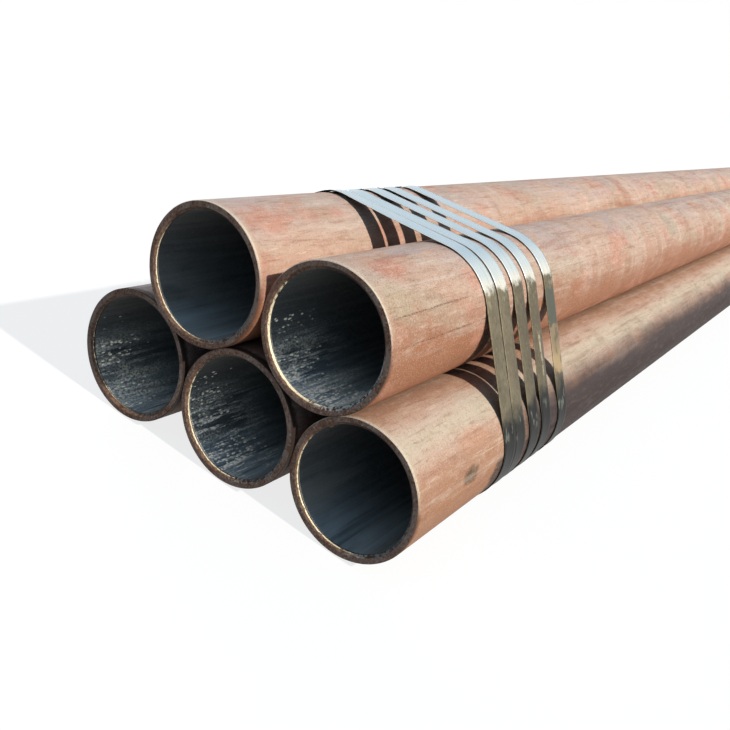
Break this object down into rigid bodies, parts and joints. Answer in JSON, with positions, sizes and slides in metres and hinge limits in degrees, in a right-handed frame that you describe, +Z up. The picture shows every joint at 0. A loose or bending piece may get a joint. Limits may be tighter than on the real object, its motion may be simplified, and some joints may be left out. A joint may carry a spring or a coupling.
{
  "type": "bundle of steel pipes",
  "caption": "Bundle of plain-end steel pipes stacked in two nested rows, lightly rusted, bound near each end by groups of tight steel straps with crimped seals.",
  "frame": {"origin": "middle of the bundle's underside, on the plane of the straps' lower faces", "axes": "+X across the bundle, +Y along the pipes away from the end that the picture shows, +Z up"},
  "size_m": [0.5078, 6.015, 0.3167],
  "materials": {
    "rusted_steel": "matte light surface rust",
    "strap_steel": "bright zinc",
    "seal_steel": "dull zinc"
  },
  "bodies": {
    "root": {"pipe_bottom_left": "rusted_steel", "pipe_bottom_middle": "rusted_steel", "pipe_bottom_right": "rusted_steel", "pipe_top_left": "rusted_steel", "pipe_top_right": "rusted_steel", "strap_front_1": "strap_steel", "strap_front_2": "strap_steel", "strap_front_3": "strap_steel", "strap_front_4": "strap_steel", "strap_front_5": "strap_steel", "strap_rear_1": "strap_steel", "strap_rear_2": "strap_steel", "strap_rear_3": "strap_steel", "strap_rear_4": "strap_steel", "strap_rear_5": "strap_steel", "seal_front_1": "seal_steel", "seal_front_2": "seal_steel", "seal_front_3": "seal_steel", "seal_front_4": "seal_steel", "seal_front_5": "seal_steel", "seal_rear_1": "seal_steel", "seal_rear_2": "seal_steel", "seal_rear_3": "seal_steel", "seal_rear_4": "seal_steel", "seal_rear_5": "seal_steel"}
  },
  "joints": []
}
